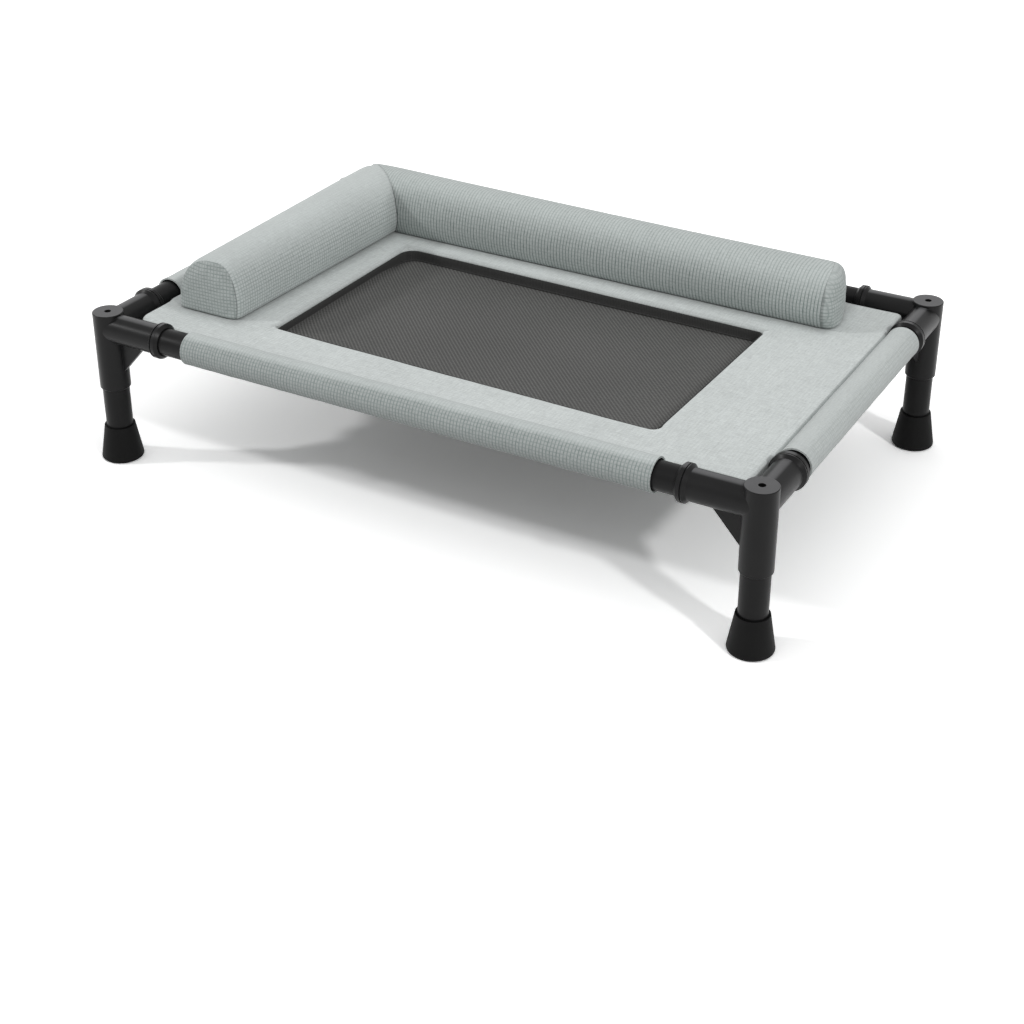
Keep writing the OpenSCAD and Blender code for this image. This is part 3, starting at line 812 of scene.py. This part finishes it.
class COT_OT_window(bpy.types.Operator):
    """Stretch the mesh under the window and sew the tape round its wall"""

    bl_idname = "cot.window"
    bl_label = "Mesh window"

    def execute(self, context):
        looks = context.scene.cot_cover
        self.mesh(looks)
        self.tape(looks)
        return {"FINISHED"}

    def mesh(self, looks):
        # The mesh runs on under the deck beyond the cloth's window
        far = Vector((MESH_HIGH.x, WINDOW[3].y + 8 * MM, MESH_HIGH.z))
        size = far - MESH_LOW
        middle = (MESH_LOW + far) / 2
        lap = 10 * MM
        deselect()
        bpy.ops.mesh.primitive_grid_add(x_subdivisions=MESH_CUTS[0], y_subdivisions=MESH_CUTS[1], size=1)
        obj = bpy.context.active_object
        points = coords(obj) * np.array((size.x, size.y, 1)) + np.array(middle)
        x, y, z = points.T
        u = (x - middle.x) / (size.x / 2 - lap)
        v = (y - middle.y) / (size.y / 2 - lap)
        z -= looks.sag * np.sqrt(np.clip(1 - u ** 2, 0, 1) * np.clip(1 - v ** 2, 0, 1))
        # Along the left side the mesh curves up the wall of the window
        left, back = WINDOW[3].xy
        turn = np.clip(1 - (x - left) / looks.curl_w, 0, 1)
        fade = smoothstep(back - 8 * MM, back - 60 * MM, y)
        z += looks.curl * fade * (1 - np.sqrt(1 - turn ** 2)) * (x > left)
        set_coords(obj, points)

        def cut_off(point):
            """The corners of the cut are rounded like the window's."""
            over_x = abs(point.co.x - middle.x) - size.x / 2
            over_y = abs(point.co.y - middle.y) - size.y / 2
            return min(over_x, over_y) > -9 * MM and over_x + over_y > -8 * MM

        edit(obj)
        select(obj, "verts", cut_off)
        bpy.ops.mesh.delete(type="VERT")
        bpy.ops.object.mode_set(mode="OBJECT")
        apply_modifier(obj, "SOLIDIFY", thickness=size.z, offset=0.0)
        smooth(obj)
        material = net_material("window_net", looks.mesh, looks.mesh_pitch, looks.curl_w)
        dress(obj, "window_mesh", material, "mesh", "mesh_panel")

    def tape(self, looks):
        low = BINDING_LOW
        below_top, turn_in, thick, clear = 2.2 * MM, 2.4 * MM, 1.2 * MM, 0.2 * MM
        height = DECK_HIGH.z - below_top - low.z
        middle = sum(WINDOW, Vector()) / 4
        inset = [c + Vector((math.copysign(clear, middle.x - c.x), math.copysign(clear, middle.y - c.y), 0))
                 for c in WINDOW]
        size = Vector((WINDOW[1].x - WINDOW[0].x, WINDOW[2].y - WINDOW[1].y, 0))
        obj = empty_mesh()
        rounded_loop(obj, inset, low.z, looks.window_r, TAPE_CUTS)
        bpy.ops.mesh.select_all(action="SELECT")
        for _ in range(2):
            extrude((0, 0, height / 2))
        # The lower edge turns in over the mesh, where it is sewn down
        select(obj, "edges", lambda e: max(v.co.z for v in e.verts) < low.z + 1e-5)
        extrude((0, 0, 0))
        bpy.ops.transform.resize(value=(1 - 2 * turn_in / size.x, 1 - 2 * turn_in / size.y, 1),
                                 center_override=(middle.x, middle.y, low.z))
        face_outwards(inside=True)
        points = coords(obj)
        over = np.abs(points - np.array(middle)) - np.array(size) / 2
        run = np.where(over[:, 0] > over[:, 1], points[:, 1], points[:, 0])
        set_uv(obj, "weave", np.stack([run, points[:, 2]], 1))
        apply_modifier(obj, "SOLIDIFY", thickness=thick, offset=1.0)
        edit(obj)
        bpy.ops.mesh.select_mode(type="EDGE")
        bpy.ops.mesh.select_all(action="DESELECT")
        bpy.ops.mesh.edges_select_sharp(sharpness=math.radians(60))
        bpy.ops.mesh.bevel(offset=0.4 * MM, segments=2, profile=0.5)
        bpy.ops.object.mode_set(mode="OBJECT")
        smooth(obj)
        dress(obj, "window_tape", tape_material("window_tape", looks.binding), "binding", "window_binding")
        around = sum((a - b).length for a, b in WINDOW_SIDES)
        around -= (2 - math.pi / 2) * sum(looks.window_r)


def arm_section(looks, width, height, crest, inner_full, outer_full, draw):
    """Points of an arm's section, as (distance from the outer side, height).

    ARCH even steps run from the outer foot over the crest to the inner foot, and BASE steps back along the base.
    """
    a = np.linspace(math.pi, 0, 2001)
    inner = a < math.pi / 2
    power = np.where(inner, 2 / inner_full, 2 / outer_full)
    h = height * np.clip(np.sin(a), 0, 1) ** power
    u = np.where(inner, 1 - crest, -crest) * width * np.abs(np.cos(a)) ** power
    u -= np.where(u > 0, draw, -0.3 * draw) * np.clip(1 - h / looks.draw_h, 0, 1) ** 2
    v = crest * width + u
    walked = np.concatenate([[0], np.cumsum(np.hypot(np.diff(v), np.diff(h)))])
    even = np.linspace(0, walked[-1], ARCH + 1)
    arch = np.stack([np.interp(even, walked, v), np.interp(even, walked, h)], 1)
    back = np.linspace(arch[-1, 0], arch[0, 0], BASE + 1)[1:-1]
    return np.vstack([arch, np.stack([back, np.zeros(BASE - 1)], 1)])


def arm_stations(r, length, wrap):
    """Where the rings of an arm stand, from the middle of its end panel to its mitre.

    The arm's edge at the panel has radius r, and the panel wraps round wrap quarters of it. Returns each ring's
    distance from the end, its inset from the full section, and the number of panel rings.
    """
    turns = np.radians([90, 67.5, 45, 22.5, 0])
    panel = [(-1.2 * MM, r + 9 * MM), (-0.8 * MM, r + 3 * MM)]
    shoulder = [(r * (1 - math.sin(t)), r * (1 - math.cos(t))) for t in turns]
    count = round((length - r) / ARM_STEP)
    straight = [(r + (length - r) * k / count, 0.0) for k in range(1, count + 1)]
    at, inset = np.array(panel + shoulder + straight).T
    return at, inset, len(panel) + wrap


# One arm of the bolster: its place in the two-fold values, its name and its end panel's, the outer foot of its end,
# its ways along and inward, its section there, its width at the mitre, how far its inner side runs back there, and
# its cloth
Arm = namedtuple("Arm", "side name end_name end along inward size mitre_w run cloth")


class COT_OT_bolster(bpy.types.Operator):
    """Fill the two arms of the bolster and sew on their end panels"""

    bl_idname = "cot.bolster"
    bl_label = "Bolster"

    def execute(self, context):
        looks = context.scene.cot_bolster
        groove = context.scene.cot_cover.groove
        # The back arm's sides are painted darker than its crown: painted shade
        left_cloth, back_cloth, panel_cloth = (
            cloth_material(f"bolster_{name}_cloth", colour, groove, looks.pitch, ribs,
                           crown=Crown(0.15, 0.80, *crown), sewn=True)
            for name, colour, ribs, crown in (
                # Lit and shaded copies of one fabric: painted light and shade
                ("left", looks.left_cloth, (0.52, 0.60), (0.22, 1.0, 1.0)),
                ("back", looks.back_cloth, (0.32, 1.0), (0.55, 0.90, 1.0)),
                ("panel", looks.panel_cloth, (0.54, 0.68), (0.50, 1.0, 1.0))))
        left_low, left_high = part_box("bolster_arm_left")
        back_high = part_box("bolster_arm_back")[1]
        front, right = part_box("bolster_end_front")[0].y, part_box("bolster_end_right")[1].x
        inner_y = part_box("bolster_end_right")[0].y + looks.back_at[1]
        base = DECK_HIGH.z + 0.2 * MM
        left_w, *left_form = looks.left_end
        back_w, *back_form = looks.back_end
        mitre_w, *mitre_form = looks.mitre
        self.mitred = arm_section(looks, mitre_w, looks.height, *mitre_form) / (mitre_w, looks.height)
        self.mitre_h = left_high.z - base + looks.rise[2]
        self.corner = Vector((left_low.x, back_high.y, base)) + Vector((*looks.corner_at, 0))
        self.arm(looks, panel_cloth, Arm(
            0, "left", "front", Vector((left_low.x, front, base)), Vector((0, 1, 0)), Vector((1, 0, 0)),
            (left_w, looks.height + looks.rise[0], *left_form), mitre_w, looks.corner_w, left_cloth))
        self.arm(looks, panel_cloth, Arm(
            1, "back", "right", Vector((right + looks.back_at[0], inner_y + back_w, base)),
            Vector((-1, 0, 0)), Vector((0, -1, 0)),
            (back_w, looks.height + looks.rise[1], *back_form), looks.corner_w, mitre_w, back_cloth))
        return {"FINISHED"}

    def tube(self, sides, rings, radius, length):
        """An open tube along +Z. Returns it with each point's place in its ring and the number of its ring.

        It isn't extruded, because the faces would come in another order each run and be filled a little differently.
        """
        deselect()
        bpy.ops.mesh.primitive_cylinder_add(vertices=sides, radius=radius, depth=length, end_fill_type="NOTHING")
        obj = bpy.context.active_object
        edit(obj)
        select(obj, "edges", lambda e: abs(e.verts[0].co.z - e.verts[1].co.z) > 0.5 * length)
        bpy.ops.mesh.subdivide(number_cuts=rings - 1)
        bpy.ops.object.mode_set(mode="OBJECT")
        x, y, z = coords(obj).T
        turn = np.mod(np.arctan2(x, y), 2 * math.pi)
        place = np.round(turn / (2 * math.pi) * sides).astype(int) % sides
        return obj, place, np.round((z / length + 0.5) * rings).astype(int)

    def arm(self, looks, panel_cloth, arm):
        """Makes one arm, from its end panel to the mitre, and the panel.

        The ribs of the cloth run along the left arm and round the back one.
        """
        shoulder, lift, bulge, wrap = (
            values[arm.side] for values in (looks.shoulder, looks.lift, looks.bulge, looks.wrap))
        width, height = arm.size[:2]
        to_corner = self.corner - arm.end
        length = to_corner.dot(arm.along)
        section = arm_section(looks, *arm.size)
        at, inset, panel_rings = arm_stations(shoulder, length, wrap)
        rings = len(at) - 1
        obj, place, ring = self.tube(len(section), rings, width / 2, length)

        # Each ring of the tube takes the section, inset at the end and slanted towards the mitre
        share = at[ring] / length
        blend = np.clip(share, 0, 1)
        wide = width + (arm.mitre_w - width) * blend
        high = height + (self.mitre_h - height) * blend
        form = section[place] / (width, height)
        form += blend[:, None] * (self.mitred[place] - form)
        cut = inset[ring]
        outer = 0.5 * cut
        t_in = (outer + form[:, 0] * (wide - outer - cut)) / wide
        foot = lift * cut
        h = foot + form[:, 1] * (high - cut - foot)
        s = at[ring] - blend * (arm.run * t_in + 0.1 * MM)
        s -= bulge * smoothstep(-0.05, 0.7, t_in) * smoothstep(90 * MM, 0, at[ring])
        v = t_in * wide + to_corner.dot(arm.inward) * share
        set_coords(obj, np.array(arm.end) + np.outer(s, arm.along) + np.outer(v, arm.inward)
                   + np.outer(h, (0, 0, 1)))

        step = np.linalg.norm(np.diff(np.vstack([section, section[:1]]), axis=0), axis=1)
        girth = np.concatenate([[0], np.cumsum(step)])[place]
        self.close(obj)
        on_panel = self.mark_panel(obj, ring, panel_rings)
        laid = (s, girth) if arm.name == "left" else (girth, s)
        set_uv(obj, "weave", np.stack(laid, 1), np.stack([v, h], 1), on_panel)
        # A seam's distance counts for more over the crown and on the outer side, where it is drawn flat
        arch = np.minimum(place, ARCH) / ARCH
        flat = 1 + 9 * smoothstep(0.76, 0.60, arch)
        to_mitre = (length - arm.run * t_in - s) * 0.75 * flat
        from_seam = np.where(ring < panel_rings, cut - inset[panel_rings], at[ring] - at[panel_rings]) * flat
        far_off = np.ones(len(from_seam))
        set_uv(obj, "seams", np.stack([from_seam, to_mitre], 1), np.stack([from_seam, far_off], 1), on_panel)

        # The filling can't move the panel's seam, the inner part of the mitre and the base
        mitre = ring == rings
        inner = (arch > 0.62) & (place <= ARCH)
        held = (ring == panel_rings) | (mitre & inner) | (section[place, 1] < 0.5 * MM)
        obj.vertex_groups.new(name="sewn").add(np.flatnonzero(held).tolist(), 1.0, "ADD")
        across = (arm.along * arm.mitre_w + arm.inward * arm.run).normalized()
        self.fill(obj, looks, mitre, np.array(across))
        self.crease(obj, mitre)
        apply_modifier(obj, "SUBSURF", levels=1, render_levels=1)
        self.round_corner(obj, looks)
        panel = self.take_panel(obj)
        for piece in (obj, panel):
            self.close(piece)
            smooth(piece, 38)
        dress(obj, f"bolster_{arm.name}", arm.cloth, "bolster", f"bolster_arm_{arm.name}")
        dress(panel, f"bolster_panel_{arm.end_name}", panel_cloth, "bolster", f"bolster_end_{arm.end_name}")
        area = float(0.5 * abs(np.dot(section[:, 0], np.roll(section[:, 1], 1))
                               - np.dot(section[:, 1], np.roll(section[:, 0], 1))))
        # A panel that wraps further round the shoulder is cut larger
        more = 0.285 * (wrap - 2) * shoulder
        area += more * float(girth[place == ARCH][0])

    def close(self, obj):
        """Closes open ends and turns the faces outwards."""
        edit(obj)
        if select(obj, "edges", lambda e: e.is_boundary):
            bpy.ops.mesh.fill_holes(sides=0)
        face_outwards()

    def mark_panel(self, obj, ring, panel_rings):
        """Gives the end panel's faces a material place of their own. Returns which faces these are."""
        marks = np.array([max(ring[i] for i in face.vertices) <= panel_rings for face in obj.data.polygons])
        obj.data.materials.append(None)
        obj.data.materials.append(None)
        obj.data.polygons.foreach_set("material_index", marks.astype(np.int32))
        return marks

    def take_panel(self, obj):
        """Parts the end panel from its arm along their seam."""
        edit(obj)
        select(obj, "faces", lambda f: f.material_index == 1)
        bpy.ops.mesh.separate(type="SELECTED")
        bpy.ops.object.mode_set(mode="OBJECT")
        return next(o for o in bpy.context.selected_objects if o != obj)

    def crease(self, obj, mitre):
        """Keeps the mitre's edge when the arm is subdivided."""
        edit(obj)
        select(obj, "edges", lambda e: all(mitre[v.index] for v in e.verts))
        bpy.ops.transform.edge_crease(value=1.0)
        bpy.ops.object.mode_set(mode="OBJECT")

    def fill(self, obj, looks, mitre, across):
        """Swells the cloth with the pressure of its filling, no further than the cap.

        The mitre's points stay in its plane, which across is square to.
        """
        before = coords(obj)
        activate(obj)
        modifier = obj.modifiers.new("Filling", "CLOTH")
        cloth = modifier.settings
        cloth.quality = 6
        cloth.use_pressure = True
        cloth.uniform_pressure_force = looks.pressure
        cloth.vertex_group_mass = "sewn"
        cloth.effector_weights.gravity = 0
        scene = bpy.context.scene
        for step in range(1, FILL_FRAMES + 1):
            scene.frame_set(step)
        bpy.ops.object.modifier_apply(modifier=modifier.name)
        scene.frame_set(1)
        moved = coords(obj) - before
        far = np.linalg.norm(moved, axis=1, keepdims=True)
        moved *= np.minimum(1, looks.swell / np.maximum(far, 1e-9))
        moved[mitre] -= np.outer(moved[mitre] @ across, across)
        set_coords(obj, before + moved)

    def round_corner(self, obj, looks):
        """Rounds the outer corner of the L, in plan, and lets its crown sink a little."""
        corner = self.corner
        points = coords(obj)
        crown = np.array((corner.x + 0.42 * looks.mitre[0], corner.y - 0.42 * looks.corner_w))
        ridge = np.array((looks.corner_w, looks.mitre[0])) / math.hypot(looks.corner_w, looks.mitre[0])
        near = 0.7 * hump(np.linalg.norm(points[:, :2] - crown, axis=1), 0, 28 * MM)
        near += hump((points[:, :2] - np.array(corner.xy)) @ ridge, 0, 7 * MM)
        points[:, 2] -= looks.dip * near * smoothstep(0.3, 0.9, (points[:, 2] - corner.z) / looks.height)
        reach = looks.corner_r
        u = np.clip(reach - (points[:, 0] - corner.x), 0, None)
        w = np.clip(reach - (corner.y - points[:, 1]), 0, None)
        both = (u > 0) & (w > 0)
        shrink = np.where(both, np.maximum(u, w) / np.maximum(np.hypot(u, w), 1e-9), 1)
        points[:, 0] += np.where(both, u * (1 - shrink), 0)
        points[:, 1] -= np.where(both, w * (1 - shrink), 0)
        set_coords(obj, points)


class COT_OT_stage(bpy.types.Operator):
    """Lay the floor, hang the lamps and set the camera"""

    bl_idname = "cot.stage"
    bl_label = "Stage"

    def execute(self, context):
        looks = context.scene.cot_stage
        scene = context.scene
        scene.view_settings.view_transform = "Standard"
        self.floor(looks)
        self.sky(scene, looks)
        self.lamp("lamp_left", looks.lamp_left, looks.lamp_size, compass=208, height=33)
        self.lamp("lamp_right", looks.lamp_right, looks.lamp_size, compass=335, height=36)
        self.camera(scene, looks)
        return {"FINISHED"}

    def seen(self, tree):
        """1 for the rays that show a surface to the camera, straight or in a reflection."""
        path = add(tree, "ShaderNodeLightPath").outputs
        straight = math_node(tree, "MAXIMUM", path["Is Camera Ray"], path["Is Transmission Ray"])
        return math_node(tree, "MAXIMUM", straight, path["Is Glossy Ray"])

    def floor(self, looks):
        deselect()
        bpy.ops.mesh.primitive_plane_add(size=24, location=(0, 0, 0))
        floor = bpy.context.active_object
        floor.name = "floor"
        material, tree, shader = new_material("floor_paper", **{
            "Base Color": (*looks.floor, 1), "Roughness": 1.0, "Specular IOR Level": 0.0,
        })
        # The lit floor is seen as white paper, and the light that it sends back to the object stays low
        extra = math_node(tree, "MULTIPLY", self.seen(tree), looks.whiten)
        paper = add(tree, "ShaderNodeBsdfDiffuse", {"Color": grey(tree, extra)})
        both = add(tree, "ShaderNodeAddShader", {0: shader.outputs["BSDF"], 1: paper.outputs["BSDF"]})
        output = next(n for n in tree.nodes if n.type == "OUTPUT_MATERIAL")
        tree.links.new(both.outputs[0], output.inputs["Surface"])
        floor.data.materials.append(material)

    def sky(self, scene, looks):
        """White to the camera, and an overhead glow with a little fill to the object."""
        world = bpy.data.worlds.new("studio")
        world.use_nodes = True
        scene.world = world
        tree = world.node_tree
        tree.nodes.clear()
        up = split(tree, add(tree, "ShaderNodeTexCoord").outputs["Generated"])["Z"]
        glow = math_node(tree, "POWER", math_node(tree, "MAXIMUM", up, 0.0), 2.0)
        light = math_node(tree, "MULTIPLY_ADD", glow, looks.sky, looks.fill)
        strength = add(tree, "ShaderNodeMix", {"Factor": self.seen(tree), "A": light, "B": 1.0}, data_type="FLOAT")
        shader = add(tree, "ShaderNodeBackground", {"Color": (1, 1, 1, 1), "Strength": strength.outputs[0]})
        output = tree.nodes.new("ShaderNodeOutputWorld")
        tree.links.new(shader.outputs[0], output.inputs["Surface"])

    def lamp(self, name, strength, size, compass, height):
        """A soft sun lamp. compass is counted from +X towards +Y and height above the floor, in degrees."""
        data = bpy.data.lights.new(name, "SUN")
        data.energy = strength
        data.angle = size
        lamp = bpy.data.objects.new(name, data)
        bpy.context.scene.collection.objects.link(lamp)
        a, e = math.radians(compass), math.radians(height)
        source = Vector((math.cos(a) * math.cos(e), math.sin(a) * math.cos(e), math.sin(e)))
        lamp.rotation_mode = "QUATERNION"
        lamp.rotation_quaternion = (-source).to_track_quat("-Z", "Y")
        lamp.location = source * 3

    def camera(self, scene, looks):
        data = bpy.data.cameras.new("camera")
        data.sensor_width = 36
        data.lens = looks.focal_px / looks.picture_px * data.sensor_width
        data.shift_y = (looks.axis_px - looks.picture_px / 2) / looks.picture_px
        camera = bpy.data.objects.new("camera", data)
        scene.collection.objects.link(camera)
        a, e = looks.azimuth, looks.elevation
        back = Vector((math.sin(a) * math.cos(e), -math.cos(a) * math.cos(e), math.sin(e)))
        camera.location = looks.eye
        camera.rotation_mode = "QUATERNION"
        camera.rotation_quaternion = (-back).to_track_quat("-Z", "Y")
        scene.camera = camera


class COT_PT_panel(bpy.types.Panel):
    """Lists the pieces in the order in which they are made"""

    bl_idname = "COT_PT_panel"
    bl_label = "Raised dog cot"
    bl_space_type = "VIEW_3D"
    bl_region_type = "UI"
    bl_category = "Dog cot"

    def draw(self, context):
        for operator in PIECES:
            self.layout.operator(operator.bl_idname)
        for group in GROUPS:
            box = self.layout.box()
            settings = getattr(context.scene, group)
            for name in settings.bl_rna.properties.keys():
                if name not in ("rna_type", "name"):
                    box.prop(settings, name)


PIECES = (COT_OT_frame_finish, COT_OT_sleeves, COT_OT_deck, COT_OT_window, COT_OT_bolster, COT_OT_stage)
GROUPS = {
    "cot_frame": CotFrameLooks,
    "cot_cover": CotCoverLooks,
    "cot_bolster": CotBolsterLooks,
    "cot_stage": CotStageLooks,
}
CLASSES = (*GROUPS.values(), *PIECES, COT_PT_panel)


def register():
    for cls in CLASSES:
        bpy.utils.register_class(cls)
    for name, group in GROUPS.items():
        setattr(bpy.types.Scene, name, bpy.props.PointerProperty(type=group))


def unregister():
    for name in GROUPS:
        delattr(bpy.types.Scene, name)
    for cls in reversed(CLASSES):
        bpy.utils.unregister_class(cls)


def main():
    register()
    bpy.ops.cot.frame_finish()
    bpy.ops.cot.sleeves()
    bpy.ops.cot.deck()
    bpy.ops.cot.window()
    bpy.ops.cot.bolster()
    bpy.ops.cot.stage()


if __name__ == "__main__":
    main()
